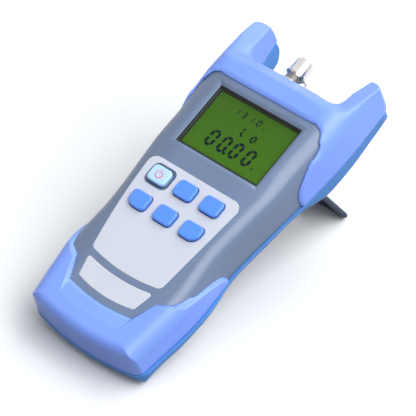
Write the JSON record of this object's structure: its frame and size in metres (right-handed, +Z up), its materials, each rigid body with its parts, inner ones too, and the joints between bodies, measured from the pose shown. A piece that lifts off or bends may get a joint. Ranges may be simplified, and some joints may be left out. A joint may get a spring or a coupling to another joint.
{
  "type": "optical power meter",
  "caption": "Handheld optical power meter with display window, keypad, two guard horns round a capped fibre port, and a folding rear stand.",
  "frame": {"origin": "middle of the bounding box at floor level, under the meter and its open stand", "axes": "+Z up, the display faces -Y and upwards, +X to the reader's right"},
  "size_m": [0.0824, 0.169, 0.0891],
  "materials": {
    "case_grey": "fine satin texture",
    "guard_blue": "soft satin",
    "rear_blue": "soft satin",
    "silver_film": "silver sparkle",
    "gasket_black": "matt",
    "lens_clear": "polished",
    "lcd_green": "flat behind glass",
    "backlight_white": "matt",
    "key_blue": "silicone sheen",
    "key_pale": "silicone sheen",
    "board_green": "solder mask",
    "spring_steel": "bright",
    "nickel": "nickel plate",
    "cap_metal": "turned",
    "holder_black": "matt",
    "diode_gold": "gold plate",
    "cell_black": "shrink sleeve",
    "contact_nickel": "nickel over brass"
  },
  "bodies": {
    "meter": {"front_case": "case_grey", "upper_guard": "guard_blue", "lower_guard": "guard_blue", "rear_case": "rear_blue", "key_panel": "silver_film", "label_plate": "silver_film", "window_gasket": "gasket_black", "window_lens": "lens_clear", "lcd_glass": "lcd_green", "lcd_backlight": "backlight_white", "main_board": "board_green", "switch_domes": "spring_steel", "port_adapter": "nickel", "port_nut": "nickel", "detector_holder": "holder_black", "photodiode": "diode_gold", "chain_tag": "nickel", "stand_pin": "spring_steel", "battery_cell_1": "cell_black", "battery_cell_2": "cell_black", "battery_cell_3": "cell_black", "contact_plates": "contact_nickel", "contact_springs": "spring_steel", "case_screws": "spring_steel", "ball_chain": "nickel"},
    "power_key": {"power_key": "key_pale"},
    "auto_off_key": {"auto_off_key": "key_blue"},
    "zero_key": {"zero_key": "key_blue"},
    "light_key": {"light_key": "key_blue"},
    "units_key": {"units_key": "key_blue"},
    "wavelength_key": {"wavelength_key": "key_blue"},
    "cap_ring": {"cap_ring": "nickel"},
    "dust_cap": {"dust_cap": "cap_metal"},
    "stand": {"stand": "case_grey"},
    "battery_cover": {"battery_cover": "rear_blue"}
  },
  "joints": [
    {"name": "power_press", "type": "slide", "parent": "meter", "child": "power_key", "axis": [0, 0.4347, -0.9006], "range_m": [0, 0.001], "stiffness_N_per_m": 500, "springref_m": -0.0005},
    {"name": "auto_off_press", "type": "slide", "parent": "meter", "child": "auto_off_key", "axis": [0, 0.4347, -0.9006], "range_m": [0, 0.001], "stiffness_N_per_m": 500, "springref_m": -0.0005},
    {"name": "zero_press", "type": "slide", "parent": "meter", "child": "zero_key", "axis": [0, 0.4347, -0.9006], "range_m": [0, 0.001], "stiffness_N_per_m": 500, "springref_m": -0.0005},
    {"name": "light_press", "type": "slide", "parent": "meter", "child": "light_key", "axis": [0, 0.4347, -0.9006], "range_m": [0, 0.001], "stiffness_N_per_m": 500, "springref_m": -0.0005},
    {"name": "units_press", "type": "slide", "parent": "meter", "child": "units_key", "axis": [0, 0.4347, -0.9006], "range_m": [0, 0.001], "stiffness_N_per_m": 500, "springref_m": -0.0005},
    {"name": "wavelength_press", "type": "slide", "parent": "meter", "child": "wavelength_key", "axis": [0, 0.4347, -0.9006], "range_m": [0, 0.001], "stiffness_N_per_m": 500, "springref_m": -0.0005},
    {"name": "cap_travel", "type": "slide", "parent": "meter", "child": "cap_ring", "axis": [0, 0.9006, 0.4347], "range_m": [0, 0.0073]},
    {"name": "cap_spin", "type": "hinge", "parent": "cap_ring", "child": "dust_cap", "pos_m": [-0.005, 0.06822, 0.07909], "axis": [0, 0.9006, 0.4347], "range_deg": [0, 3504.1]},
    {"name": "stand_fold", "type": "hinge", "parent": "meter", "child": "stand", "pos_m": [0, 0.04099, 0.04763], "axis": [1, 0, 0], "range_deg": [-108.7, 0]},
    {"name": "cover_tilt", "type": "hinge", "parent": "meter", "child": "battery_cover", "pos_m": [0, -0.06664, 0.00123], "axis": [1, 0, 0], "range_deg": [-20, 0]}
  ],
  "couplings": [
    {"joint": "cap_spin", "follows": "cap_travel", "rad_per_m": 8377.6}
  ]
}
